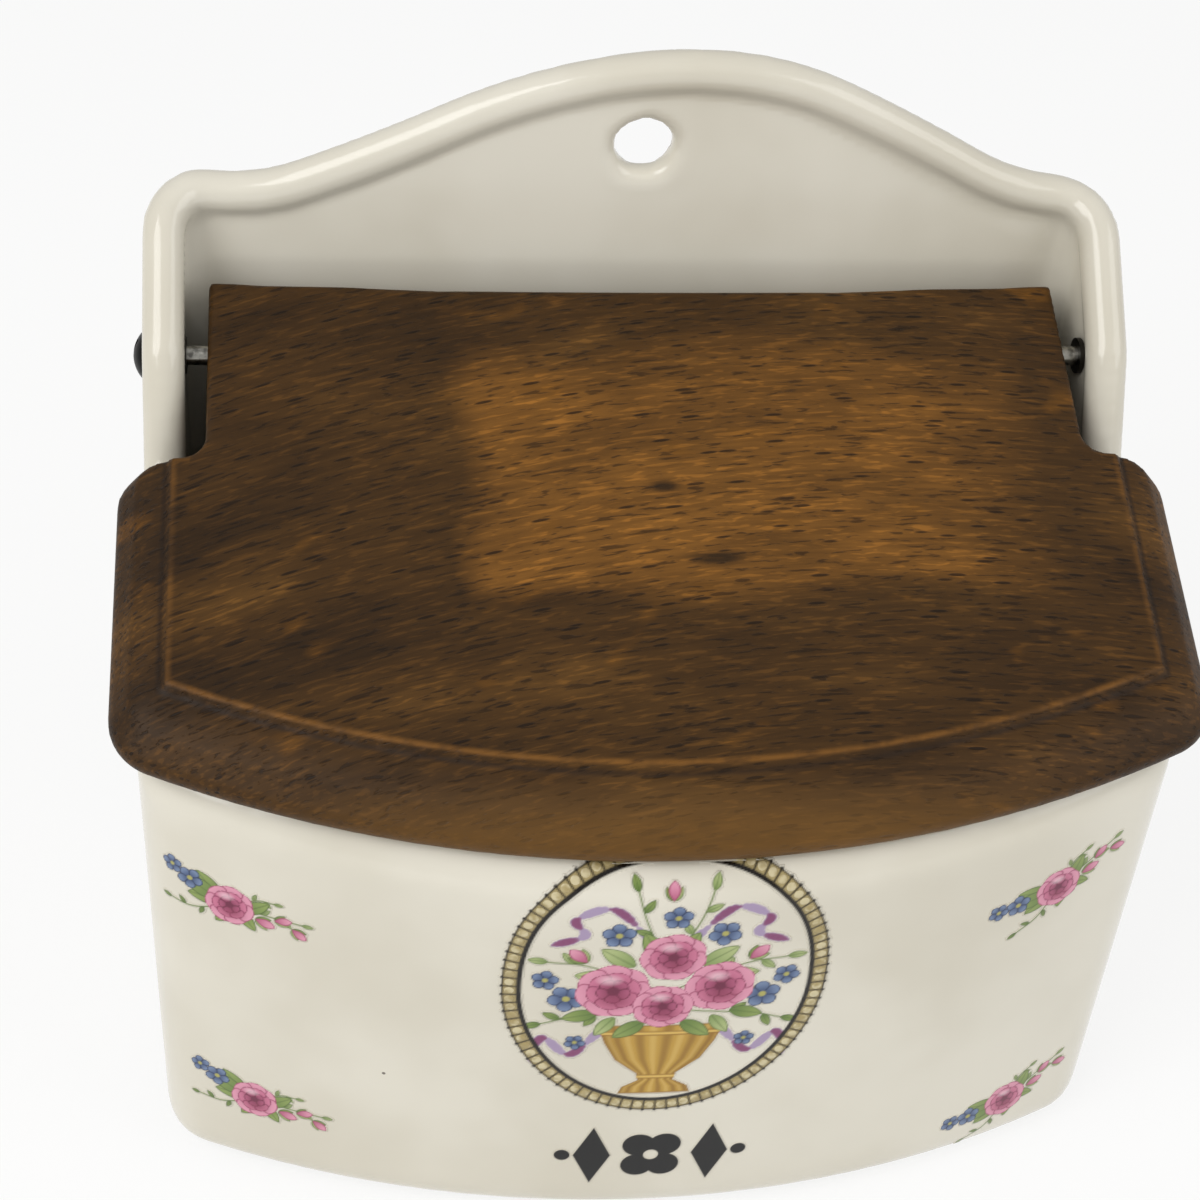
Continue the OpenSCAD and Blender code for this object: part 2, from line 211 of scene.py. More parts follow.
def printed_transfer():
    """Enamel transfer fired on the glaze: inks from the piece's own points, same gloss."""
    material, tree = new_material("printed_enamel_transfer")
    base, normal = glaze_base(tree)
    ink = add(tree, "ShaderNodeVertexColor", layer_name="ink").outputs
    # The inks are premultiplied: they hide their share of the glaze, then add their colour.
    printed = coated(
        tree, base, [(ink["Alpha"], (0, 0, 0, 1), "MIX"), (1.0, ink["Color"], "ADD")]
    )
    shader = add(
        tree,
        "ShaderNodeBsdfPrincipled",
        {
            "Base Color": printed,
            "Roughness": 0.17,
            "IOR": 1.52,
            "Specular IOR Level": 0.3,
            "Normal": normal,
        },
    )
    finish_material(tree, shader)
    return material


def printed_beads():
    """Raised straw-coloured enamel dots of the medallion's border, browner in places."""
    material, tree = new_material("straw_enamel_dots")
    place = add(tree, "ShaderNodeTexCoord").outputs["Object"]
    cloud = add(tree, "ShaderNodeTexNoise", {"Vector": place, "Scale": 1 / (2.2 * MM), "Detail": 2.0})
    straw = add(
        tree,
        "ShaderNodeValToRGB",
        {"Fac": cloud},
        stops=[(0.35, colour("#a39265")), (0.6, colour("#c9bd98"))],
    )
    shader = add(
        tree,
        "ShaderNodeBsdfPrincipled",
        {"Base Color": straw, "Roughness": 0.25, "IOR": 1.52, "Specular IOR Level": 0.3},
    )
    finish_material(tree, shader)
    return material


def stained_beech():
    """Old beech board, stained dark and waxed: short dark pores, rubbed golden in places."""
    material, tree = new_material("stained_beech")
    place = add(tree, "ShaderNodeTexCoord").outputs["Object"]
    flat = add(
        tree,
        "ShaderNodeMapping",
        {"Vector": place, "Rotation": (-LID_SLOPE, 0, 0)},
        vector_type="POINT",
    )
    # The grain bows: it rises to the right at the left end and lies level right of the middle.
    part = add(tree, "ShaderNodeSeparateXYZ", {"Vector": flat}).outputs
    off = add(tree, "ShaderNodeMath", {0: part["X"], 1: GRAIN_LEVEL}, operation="SUBTRACT")
    square = add(tree, "ShaderNodeMath", {0: off, 1: off}, operation="MULTIPLY")
    bow = add(tree, "ShaderNodeMath", {0: square, 1: GRAIN_BOW}, operation="MULTIPLY")
    along = add(tree, "ShaderNodeMath", {0: part["Y"], 1: bow}, operation="ADD")
    grain = add(tree, "ShaderNodeCombineXYZ", {"X": part["X"], "Y": along, "Z": part["Z"]})

    def figure(size, kind="ShaderNodeTexNoise", **inputs):
        """A pattern drawn out along the grain, its patches of this size in millimetres."""
        scale = [1 / (length * MM) for length in size]
        spread = add(tree, "ShaderNodeMapping", {"Vector": grain, "Scale": scale})
        return add(tree, kind, {"Vector": spread, "Scale": 1.0, **inputs})

    # Broad mottling of the stain.
    clouds = figure((46, 17, 30), Detail=4.0)
    stain = add(
        tree,
        "ShaderNodeValToRGB",
        {"Fac": clouds},
        stops=[(0.32, colour("#32220f")), (0.52, colour("#453016")), (0.72, colour("#5b4120"))],
    )
    # A rubbed patch behind the middle, where the golden wood shows through.
    patch = add(tree, "ShaderNodeAttribute", attribute_name="rubbed").outputs["Fac"]
    patches = figure((30, 12, 20), Detail=3.0)
    uneven = add(tree, "ShaderNodeValToRGB", {"Fac": patches}, [(0.3, 0.45), (0.65, 0.95)])
    rubbed = add(tree, "ShaderNodeMath", {0: patch, 1: uneven}, operation="MULTIPLY")
    # Small golden worn spots elsewhere.
    dots = figure((13, 8, 10), Detail=2.0)
    spots = add(tree, "ShaderNodeValToRGB", {"Fac": dots}, [(0.62, 0.0), (0.76, 0.4)])
    # Fine streaks along the grain, one every millimetre or so.
    fibres = figure((14, 0.9, 3), Detail=4.0)
    tone = add(tree, "ShaderNodeValToRGB", {"Fac": fibres}, [(0.3, 0.36), (0.7, 0.64)])
    # Beech flecks: dark dashes 3 to 5 mm long and 0.4 mm wide, with lighter raised fibres
    # between them, and some longer dashes.
    flecks = figure((4.6, 0.7, 0.7), Detail=2.0, Distortion=0.4)
    dark = add(tree, "ShaderNodeValToRGB", {"Fac": flecks}, [(0.32, 0.75), (0.42, 0.0)])
    light = add(tree, "ShaderNodeValToRGB", {"Fac": flecks}, [(0.55, 0.0), (0.68, 0.4)])
    cells = figure((10, 1.7, 1.7), "ShaderNodeTexVoronoi")
    long_dash = add(tree, "ShaderNodeValToRGB", {"Fac": cells}, [(0.11, 1.0), (0.2, 0.0)])
    pores = add(tree, "ShaderNodeMath", {0: long_dash, 1: dark}, operation="MAXIMUM")
    filled = add(tree, "ShaderNodeMath", {0: pores, 1: 0.8}, operation="MULTIPLY")
    # Two small dark knots in the rubbed patch.
    marks = add(tree, "ShaderNodeAttribute", attribute_name="knots").outputs["Fac"]
    knots = add(tree, "ShaderNodeMath", {0: marks, 1: 0.85}, operation="MULTIPLY")
    # A dark line is painted in the step round the field: painted shade of the step. The field's edge is
    # rubbed to a golden line.
    wear = add(tree, "ShaderNodeAttribute", attribute_name="field_edge").outputs["Fac"]
    step_shade = add(
        tree, "ShaderNodeValToRGB", {"Fac": wear}, [(0.34, 0.0), (0.42, 0.6), (0.5, 0.0)]
    )
    golden = add(
        tree, "ShaderNodeValToRGB", {"Fac": wear}, [(0.0, 0.0), (0.5, 0.0), (0.56, 1.0), (0.66, 0.0)]
    )
    crumbs = figure((6, 6, 6), Detail=3.0)
    broken = add(tree, "ShaderNodeValToRGB", {"Fac": crumbs}, [(0.35, 0.25), (0.6, 1.0)])
    line = add(tree, "ShaderNodeMath", {0: golden, 1: broken}, operation="MULTIPLY")
    share = add(tree, "ShaderNodeAttribute", attribute_name="line_wear").outputs["Fac"]
    worn = add(tree, "ShaderNodeMath", {0: line, 1: share}, operation="MULTIPLY")
    # The nose of the board is rubbed lighter by hands.
    nose = add(tree, "ShaderNodeAttribute", attribute_name="nose").outputs["Fac"]
    handled = add(tree, "ShaderNodeMath", {0: nose, 1: 0.5}, operation="MULTIPLY")
    wood = coated(
        tree,
        stain,
        [
            (rubbed, colour("#7d5728"), "MIX"),
            (spots, colour("#7a531d"), "MIX"),
            (0.6, tone, "OVERLAY"),
            (light, (2.6, 2.5, 2.3, 1), "MULTIPLY"),
            (filled, colour("#170e06"), "MIX"),
            (knots, colour("#1f170e"), "MIX"),
            # Painted shade in the step round the field.
            (step_shade, colour("#1c1108"), "MIX"),
            (worn, colour("#94672f"), "MIX"),
            (handled, colour("#7d5d33"), "MIX"),
            # The old wax warms every tone.
            (1.0, (0.85, 0.76, 0.52, 1), "MULTIPLY"),
        ],
    )
    ridges = add(tree, "ShaderNodeMath", {0: fibres, 1: 0.3}, operation="MULTIPLY")
    height = add(tree, "ShaderNodeMath", {0: ridges, 1: pores}, operation="SUBTRACT")
    bump = add(tree, "ShaderNodeBump", {"Height": height, "Strength": 0.45, "Distance": 0.25 * MM})
    shader = add(
        tree,
        "ShaderNodeBsdfPrincipled",
        {
            "Base Color": wood,
            "Roughness": 0.5,
            "IOR": 1.45,
            "Specular IOR Level": 0.22,
            "Normal": bump,
        },
    )
    finish_material(tree, shader)
    return material


def tarnished_and_shaded_steel():
    """Dull, near-black steel of the washers: tarnish, darkened further by painted shade of the box's
    inside, with a little grime.
    """
    material, tree = new_material("tarnished_and_shaded_steel")
    place = add(tree, "ShaderNodeTexCoord").outputs["Object"]
    grime = add(tree, "ShaderNodeTexNoise", {"Vector": place, "Scale": 1 / (1.5 * MM), "Detail": 2.0})
    tint = add(tree, "ShaderNodeValToRGB", {"Fac": grime}, [(0.3, 0.75), (0.6, 1.0)])
    # The dark base colour is partly painted shade: the washers sit in the shade inside the box.
    base = coated(tree, colour("#3a3732"), [(1.0, tint, "MULTIPLY")])
    shader = add(
        tree,
        "ShaderNodeBsdfPrincipled",
        {"Base Color": base, "Metallic": 1.0, "Roughness": 0.38},
    )
    finish_material(tree, shader)
    return material


def screw_steel():
    """Screws with a black domed head and a shank rubbed bright between ear and lid."""
    material, tree = new_material("blacked_steel_bright_shank")
    place = add(tree, "ShaderNodeTexCoord").outputs["Object"]
    across = add(tree, "ShaderNodeSeparateXYZ", {"Vector": place}).outputs["X"]
    reach = add(tree, "ShaderNodeMath", {0: across}, operation="ABSOLUTE")
    inside = add(tree, "ShaderNodeMath", {0: reach, 1: HEAD_FACE}, operation="LESS_THAN")
    grime = add(tree, "ShaderNodeTexNoise", {"Vector": place, "Scale": 1 / (1.2 * MM), "Detail": 2.0})
    bright = add(
        tree,
        "ShaderNodeValToRGB",
        {"Fac": grime},
        stops=[(0.3, colour("#6d6b66")), (0.6, colour("#b4b2aa"))],
    )
    base = coated(tree, colour("#141312"), [(inside, bright, "MIX")])
    rough = add(tree, "ShaderNodeValToRGB", {"Fac": inside}, [(0.0, 0.45), (1.0, 0.28)])
    shader = add(
        tree,
        "ShaderNodeBsdfPrincipled",
        {"Base Color": base, "Metallic": 1.0, "Roughness": rough},
    )
    finish_material(tree, shader)
    return material


# ---------------------------------------------------------------- meshes
def put(name, data):
    """A new object with this data, in the scene."""
    made = bpy.data.objects.new(name, data)
    bpy.context.scene.collection.objects.link(made)
    return made


def relax(points, edges, weights, rounds, back=0.0):
    """Moves points towards the middle of their neighbours, and part of the way back."""
    a, b = edges.T
    count = len(points)
    degree = np.bincount(a, minlength=count) + np.bincount(b, minlength=count)
    for _ in range(rounds):
        for step in (1.0, -back) if back else (1.0,):
            middle = np.stack(
                [
                    np.bincount(a, points[b, k], count) + np.bincount(b, points[a, k], count)
                    for k in range(3)
                ],
                axis=1,
            )
            shift = middle / np.maximum(degree, 1)[:, None] - points
            points = points + step * weights[:, None] * shift
    return points


def softened(node, name, voxel, rounds, material):
    """A copy of a CAD node with its edges rounded as by glaze or wear."""
    mesh = frame["nodes"][node].data.copy()
    mesh.materials.clear()
    piece = put(name, mesh)
    weld = piece.modifiers.new("weld", "WELD")
    weld.merge_threshold = 0.01 * MM
    remesh = piece.modifiers.new("remesh", "REMESH")
    remesh.mode = "VOXEL"
    remesh.voxel_size = voxel
    evaluated = piece.evaluated_get(bpy.context.evaluated_depsgraph_get())
    smooth = bpy.data.meshes.new_from_object(evaluated)
    piece.modifiers.clear()
    piece.data = smooth
    points, edges = read_points(smooth), read_edges(smooth)
    points = relax(points, edges, np.full(len(points), 0.5), rounds, back=1.04)
    write_points(smooth, points)
    smooth.materials.append(material)
    smooth.shade_smooth()
    return piece


def read_points(mesh):
    values = np.empty(len(mesh.vertices) * 3)
    mesh.vertices.foreach_get("co", values)
    return values.reshape(-1, 3)


def read_edges(mesh):
    values = np.empty(len(mesh.edges) * 2, dtype=np.int32)
    mesh.edges.foreach_get("vertices", values)
    return values.reshape(-1, 2)


def write_points(mesh, points):
    mesh.vertices.foreach_set("co", points.ravel())
    mesh.update()


def lean_crown(piece):
    """Raises the crown's right slope and lowers its left one; the hole stays."""
    points = read_points(piece.data)
    x, z = points[:, 0] / MM, points[:, 2] / MM
    at_back = points[:, 1] > BOX_HIGH[1] - 12 * MM
    columns = np.arange(-CROWN_HALF, CROWN_HALF + 1, 2.0)
    tops = [z[at_back & (np.abs(x - column) < 1)].max() for column in columns]
    depth = np.interp(x, columns, tops) - z
    ways = np.clip(x / CROWN_HALF, -1, 1) * math.pi
    # The middle sinks by a fifth of the lean, so that the top gets no higher than the CAD's.
    lift = CROWN_LEAN * np.sin(ways) - 0.22 * CROWN_LEAN * np.cos(ways / 2) ** 2
    share = np.clip((CROWN_REACH - depth) / (CROWN_REACH / 2), 0, 1)
    points[:, 2] += lift * share * share * (3 - 2 * share) * at_back * MM
    write_points(piece.data, points)


def true_rear_edge(piece):
    """Evens the lid's rear edge along its length, where the remesh leaves small steps."""
    points, edges = read_points(piece.data), read_edges(piece.data)
    ways = points[edges[:, 1]] - points[edges[:, 0]]
    level = edges[np.abs(ways[:, 0]) > 0.5 * np.linalg.norm(ways, axis=1)]
    linked = np.bincount(level.ravel(), minlength=len(points)) > 1
    at_rear = (points[:, 1] > LID_HIGH[1] - 6 * MM) & (np.abs(points[:, 0]) < 70 * MM)
    write_points(piece.data, relax(points, level, 0.5 * (linked & at_rear), 80))


def mark_lid(piece):
    """Notes for each point how near it lies to the field's edge, to the nose and to the marks."""
    points = read_points(piece.data) - np.array(HINGE)
    cos, sin = math.cos(LID_SLOPE), math.sin(LID_SLOPE)
    across = np.abs(points[:, 0])
    along = points[:, 1] * cos + points[:, 2] * sin
    top = (points[:, 2] * cos - points[:, 1] * sin) > 1.5 * MM
    bow = FIELD_BOW - np.hypot(across, along - FIELD_FRONT - FIELD_BOW)
    inside = np.minimum(bow, FIELD_HALF - across)
    behind = np.minimum(inside, FIELD_REAR - along)
    # 0.5 is the edge itself; the scale is 10 mm from 0 to 1.
    edge = np.where(top & (across > 77 * MM), behind, inside)
    note(piece.data, "field_edge", np.where(top, np.clip(0.5 + edge / (10 * MM), 0, 1), 0))
    note(piece.data, "line_wear", np.where(bow < FIELD_HALF - across, 0.55, 0.25))
    middle = np.exp(-((across / (75 * MM)) ** 4))
    note(piece.data, "nose", np.clip((-along - 83 * MM) / (8 * MM), 0, 1) * middle)
    # The rubbed patch: sharp at the left and in front, fading out to the right and behind.
    x, y = points[:, 0] / MM, along / MM
    wavy = 1.6 * np.sin(x / 9.0) + 1.2 * np.sin(y / 5.0 + x / 13.0)
    within = (
        (x - RUBBED_ACROSS[0], 5),
        (RUBBED_ACROSS[1] - x, 16),
        (y - RUBBED_ALONG[0], 5),
        (RUBBED_ALONG[1] - y, 12),
    )
    patch = [np.clip((depth + wavy) / fade, 0, 1) for depth, fade in within]
    note(piece.data, "rubbed", np.where(top, np.prod(patch, axis=0), 0))
    knots = 0
    for at, half, tall in ((ROUND_KNOT, 2.2, 1.1), (LONG_KNOT, 4.4, 1.2)):
        spot = np.exp(-(((x - at[0]) / half) ** 2) - ((y - at[1]) / tall) ** 2)
        knots = np.maximum(knots, np.minimum(1, 1.5 * spot))
    note(piece.data, "knots", np.where(top, knots, 0))


def note(mesh, name, values):
    """Stores one value for each point, for a material to read."""
    mesh.attributes.new(name, "FLOAT", "POINT").data.foreach_set("value", values)


# ---------------------------------------------------------------- the printed front
# Everything here is drawn in millimetres on the unrolled front: s to the right from the
# middle, v upwards from the foot, over the rounded top edge.
def way_out(s, v):
    """For places on the unrolled front: a point behind each and the direction out of it."""
    bow = np.clip(s, -BOW_END, BOW_END) / BOW_R
    turn = bow + (s - bow * BOW_R) / CORNER_R
    rise = np.maximum(0, v - TOP_EDGE_Z) / TOP_EDGE_R
    level = np.stack([np.sin(turn), -np.cos(turn), np.zeros_like(s)], axis=-1)
    origin = (CORNER_R - TOP_EDGE_R) * level
    origin[..., 0] += (BOW_R - CORNER_R) * np.sin(bow)
    origin[..., 1] += BOW_CENTRE_Y - (BOW_R - CORNER_R) * np.cos(bow)
    origin[..., 2] = np.minimum(v, TOP_EDGE_Z)
    out = level * np.cos(rise)[..., None]
    out[..., 2] = np.sin(rise)
    return origin, out


def surface_height(surface, origin, out):
    """Distance of the glazed surface from each origin, in millimetres."""
    reach = 25.0
    starts = (origin + reach * out) * MM
    heights = np.empty(len(starts))
    for i, (start, way) in enumerate(zip(starts, -out)):
        hit = surface.ray_cast(Vector(start), Vector(way), 2 * reach * MM)[3]
        heights[i] = reach - hit / MM if hit else np.nan
    heights[np.isnan(heights)] = np.nanmean(heights)
    return heights


def even_out(field, rounds):
    """Blurs a grid of heights along both ways."""
    for _ in range(rounds):
        for axis in (0, 1):
            padded = np.pad(field, [(1, 1) if k == axis else (0, 0) for k in (0, 1)], "edge")
            low = padded[:-2] if axis == 0 else padded[:, :-2]
            high = padded[2:] if axis == 0 else padded[:, 2:]
            field = 0.5 * field + 0.25 * (low + high)
    return field


class Transfer:
    """One part of the print: a fine grid over the front, inked shape by shape."""

    def __init__(self, left, right, low, high, step):
        self.s, self.v = np.meshgrid(np.arange(left, right, step), np.arange(low, high, step))
        self.step = step
        self.ink = np.zeros(self.s.shape + (4,))

    def paint(self, distance, hex_code, strength=1.0):
        """Lays ink where the signed distance is below zero; inks are premultiplied."""
        cover = np.clip(0.5 - distance / self.step, 0, 1) * strength
        self.ink *= 1 - cover[..., None]
        self.ink += cover[..., None] * np.array(colour(hex_code))

    def erase(self, distance):
        self.ink *= 1 - np.clip(0.5 - distance / self.step, 0, 1)[..., None]

    def local(self, at, angle=0.0):
        ds, dv = self.s - at[0], self.v - at[1]
        cos, sin = math.cos(angle), math.sin(angle)
        return ds * cos + dv * sin, dv * cos - ds * sin

    def disc(self, at, radius, squash=1.0, angle=0.0):
        along, over = self.local(at, angle)
        return np.hypot(along, over / squash) - radius

    def line(self, points, widths):
        nearest = np.full(self.s.shape, 99.0)
        for a, b, width in zip(points, points[1:], widths):
            way = b - a
            ds, dv = self.s - a[0], self.v - a[1]
            t = np.clip((ds * way[0] + dv * way[1]) / (way @ way), 0, 1)
            gap = np.hypot(ds - t * way[0], dv - t * way[1])
            nearest = np.minimum(nearest, gap - width / 2)
        return nearest


def bent(points, count=8):
    """A smooth line through a few points."""
    points = np.array(points, dtype=float)
    ends = np.vstack([2 * points[0] - points[1], points, 2 * points[-1] - points[-2]])
    t = np.linspace(0, 1, count, endpoint=False)[:, None]
    made = []
    for a, b, c, d in zip(ends, ends[1:], ends[2:], ends[3:]):
        made.append(
            b + 0.5 * t * (c - a + t * (2 * a - 5 * b + 4 * c - d + t * (3 * (b - c) + d - a)))
        )
    return np.vstack(made + [points[-1:]])


def petal(sheet, root, angle, length, width, inks, full=0.6):
    """A petal or leaf from its root: a rim, a body, and a third ink towards the tip."""
    rim, body, tip = inks
    along, over = sheet.local(root, angle)
    t = np.clip(along / length, 0, 1)
    shape = np.abs(np.sin(np.pi * t ** (math.log(0.5) / math.log(full))))
    outside = np.maximum(np.abs(over) - 0.5 * width * shape**0.7, np.maximum(-along, along - length))
    sheet.paint(outside, rim)
    sheet.paint(outside + 0.2, body)
    sheet.paint(outside + 0.25, tip, strength=t * t * (3 - 2 * t))
    return over, outside


LEAF_INKS = (("#4d602e", "#617a3b", "#8b9c57"), ("#5f713c", "#82965a", "#aeb981"))
ROSE_INKS = (
    ("#93405f", "#b05c7c", "#d895ab"),
    ("#7d2f4e", "#993f62", "#c4728f"),
    ("#64213c", "#7e2e4d", "#a95575"),
)


def leaf(sheet, root, angle, length, kind=0):
    """A pointed leaf, twice as long as wide, with its rib."""
    over, outside = petal(sheet, root, angle, length, 0.5 * length, LEAF_INKS[kind], 0.45)
    sheet.paint(np.maximum(np.abs(over) - 0.12, outside + 0.3), "#4c6130", strength=0.6)


def rose(sheet, at, radius, lean):
    """A full rose: three rings of petals round a dark heart, lit from above."""
    for (reach, count), inks in zip(((1.0, 7), (0.72, 6), (0.46, 5)), ROSE_INKS):
        for i in range(count):
            angle = lean + 2 * math.pi * (i + 0.5 * (count % 2)) / count
            petal(sheet, at, angle, radius * reach, radius * reach * 0.98, inks, 0.68)
    sheet.paint(sheet.disc(at, 0.16 * radius), "#6b2340")
    lit = (at[0] - 0.12 * radius, at[1] + 0.42 * radius)
    near = sheet.disc(lit, 0.4 * radius, 0.6)
    body = sheet.disc(at, 0.97 * radius)
    sheet.paint(body, "#f3d3dc", strength=0.55 * np.clip(-near / (0.3 * radius), 0, 1))
    low = (at[0] + 0.1 * radius, at[1] - 0.4 * radius)
    dark = sheet.disc(low, 0.62 * radius, 0.6)
    sheet.paint(body, "#7c2745", strength=0.5 * np.clip(-dark / (0.5 * radius), 0, 1))


def blossom(sheet, at, radius, lean):
    """A small blue flower of five petals."""
    for i in range(5):
        petal(
            sheet, at, lean + 2 * math.pi * i / 5, radius, 0.85 * radius,
            ("#1f2b49", "#33456c", "#7385a5"), 0.62,
        )
    sheet.paint(sheet.disc(at, 0.2 * radius), "#a9a45e")


def bud(sheet, at, radius, angle):
    """A closed rose between two leaves."""
    root = (at[0] - radius * math.cos(angle), at[1] - radius * math.sin(angle))
    leaf(sheet, root, angle + 0.5, 1.7 * radius)
    leaf(sheet, root, angle - 0.5, 1.7 * radius, 1)
    petal(sheet, root, angle, 2.1 * radius, 1.2 * radius, ROSE_INKS[0], 0.55)


def twig(sheet, points, leaf_length, kind=0):
    """A stem with leaves left and right of it, and one at its end."""
    path = bent(points)
    sheet.paint(sheet.line(path, np.full(len(path), 0.3)), "#66793f")
    for i in range(6, len(path) - 1, 5):
        way = path[i + 1] - path[i]
        side = 0.8 if (i // 5) % 2 else -0.8
        leaf(sheet, path[i], math.atan2(way[1], way[0]) + side, leaf_length, kind)
    way = path[-1] - path[-2]
    leaf(sheet, path[-1], math.atan2(way[1], way[0]), leaf_length, kind)


def ribbon(sheet, points, width):
    """A mauve ribbon that turns over as it goes."""
    path = bent(points)
    turn = np.cos(np.arange(len(path)) * 0.55)
    sheet.paint(sheet.line(path, 0.35 + width * np.abs(turn)), "#9b86ab", strength=0.9)
    for i in range(len(path) - 1):
        if turn[i] < -0.2:
            piece = sheet.line(path[i : i + 2], [0.1 + width * abs(turn[i])])
            sheet.paint(piece, "#81436a", strength=0.8)


def ring_outline(inset, count):
    """Places along the medallion's oval, evenly spaced; its upper half is a little fuller."""
    angle = np.linspace(0, 2 * math.pi, 1440, endpoint=False)
    power = np.where(np.sin(angle) > 0, 2 / 2.25, 1.0)
    s = RING_MIDDLE[0] + (RING_HALF - inset) * np.sign(np.cos(angle)) * np.abs(np.cos(angle)) ** power
    v = RING_MIDDLE[1] + (RING_TALL - inset) * np.sign(np.sin(angle)) * np.abs(np.sin(angle)) ** power
    points = np.stack([s, v], axis=-1)
    steps = np.linalg.norm(np.roll(points, -1, axis=0) - points, axis=1)
    run = np.concatenate([[0], np.cumsum(steps)])
    closed = np.vstack([points, points[:1]])
    wanted = np.arange(count) / count * run[-1]
    return np.stack([np.interp(wanted, run, closed[:, k]) for k in (0, 1)], axis=-1)


def draw_ring(sheet):
    """The medallion's border: a dark oval, its straw band, thin outer line and knobs."""
    for inset, width, ink in (
        (RING_BAND / 2 + 0.1, RING_BAND, "#a29266"),
        (RING_BAND - 0.1, 0.85, "#15110d"),
        (0.25, 0.3, OUTLINE_INK),
    ):
        path = ring_outline(inset, 240)
        path = np.vstack([path, path[:1]])
        sheet.paint(sheet.line(path, np.full(240, width)), ink)
    ends = ring_outline(0.1, 2 * BEADS)[1::2]
    roots = ring_outline(RING_BAND - 0.3, 2 * BEADS)[1::2]
    for end, root in zip(ends, roots):
        sheet.paint(sheet.line([end, root], [0.32]), OUTLINE_INK)
        sheet.paint(sheet.disc(end, 0.3), "#1c1712")


def draw_bowl(sheet, middle, foot, rim):
    """A golden footed bowl, fluted, with two turned rings."""
    height = rim - foot
    t = (sheet.v - foot) / height
    half = np.interp(
        t, [0, 0.1, 0.2, 0.3, 0.5, 0.75, 0.92, 1.0], [6.2, 5.6, 3.0, 3.4, 7.2, 9.3, 10.2, 11.0]
    )
    across = (sheet.s - middle) / half
    outside = np.maximum(np.abs(across) - 1, 0) * half
    outside = np.where(np.abs(across) < 1, (np.abs(across) - 1) * half, outside)
    outside = np.maximum(outside, np.maximum(foot - sheet.v, sheet.v - rim))
    sheet.paint(outside, BOWL_INK)
    sheet.paint(outside + 0.3, "#b8923f")
    flute = np.sin(13 * np.arcsin(np.clip(across, -1, 1)))
    sheet.paint(outside + 0.3, BOWL_INK, strength=0.75 * np.clip(flute, 0, 1))
    sheet.paint(outside + 0.3, "#dcbd72", strength=0.6 * np.clip(-flute - 0.4, 0, 1))
    sheet.paint(outside + 0.3, "#7a551c", strength=0.5 * np.clip(np.abs(across), 0, 1) ** 4)
    for level in (0.25, 0.88):
        sheet.paint(np.maximum(outside, np.abs(t - level) * height - 0.55), BOWL_INK)
        sheet.paint(np.maximum(outside, np.abs(t - level) * height - 0.3), "#d2ae5c")


def draw_bouquet(sheet):
    """Roses and blue flowers in a footed bowl, with a ribbon hung on both sides."""
    middle, rim = RING_MIDDLE[0], 52.0
    for side in (-1, 1):
        ribbon(
            sheet,
            [
                (middle + side * 10.5, 50), (middle + side * 15, 44.5),
                (middle + side * 19.5, 48.5), (middle + side * 21, 43), (middle + side * 17, 40),
            ],
            1.5,
        )
        ribbon(
            sheet,
            [
                (middle + side * 3, 72), (middle + side * 9.5, 79.5),
                (middle + side * 15.5, 77), (middle + side * 14, 73.5), (middle + side * 19, 71),
            ],
            1.5,
        )
        twig(sheet, [(middle, 66), (middle + side * 4, 76), (middle + side * 6, 83)], 3.2, side > 0)
        twig(sheet, [(middle, 60), (middle + side * 12, 66), (middle + side * 19.5, 67)], 3.4, 1)
        twig(sheet, [(middle, 56), (middle + side * 14, 54), (middle + side * 20, 52)], 3.4)
        for angle in (0.15, 0.65, 1.15, 1.5):
            way = math.pi / 2 - side * angle
            at = (middle + 9 * math.cos(way), 60 + 8 * math.sin(way))
            leaf(sheet, at, way - 0.3 * side, 7.0, int(angle > 0.6))
    draw_bowl(sheet, middle, 34.5, rim)
    for side in (-1, 1):
        leaf(sheet, (middle + side * 3, 53), -math.pi / 2 + side * 0.9, 6.5)
        leaf(sheet, (middle + side * 8, 54), -math.pi / 2 + side * 0.6, 5.5, 1)
        leaf(sheet, (middle + side * 11, 55), -math.pi / 2 + side * 1.3, 6.0)
        blossom(sheet, (middle + side * 16.2, 58.3), 3.2, 0.4 * side)
        blossom(sheet, (middle + side * 19.8, 62.6), 2.4, 1.1 * side)
        blossom(sheet, (middle + side * 8.5, 73.6), 2.9, 0.9 * side)
        blossom(sheet, (middle + side * 14.2, 47.6), 1.9, 0.2 * side)
        bud(sheet, (middle + side * 14.6, 68.6), 2.0, math.pi / 2 - side * 0.8)
    blossom(sheet, (middle + 0.6, 77.6), 2.6, 0.3)
    bud(sheet, (middle - 0.4, 83.0), 1.7, math.pi / 2)
    rose(sheet, (middle - 8.6, 60.4), 6.4, 0.3)
    rose(sheet, (middle + 8.9, 61.0), 6.0, 0.9)
    rose(sheet, (middle + 0.6, 68.4), 5.6, 0.1)
    rose(sheet, (middle - 0.2, 56.6), 5.2, 0.6)


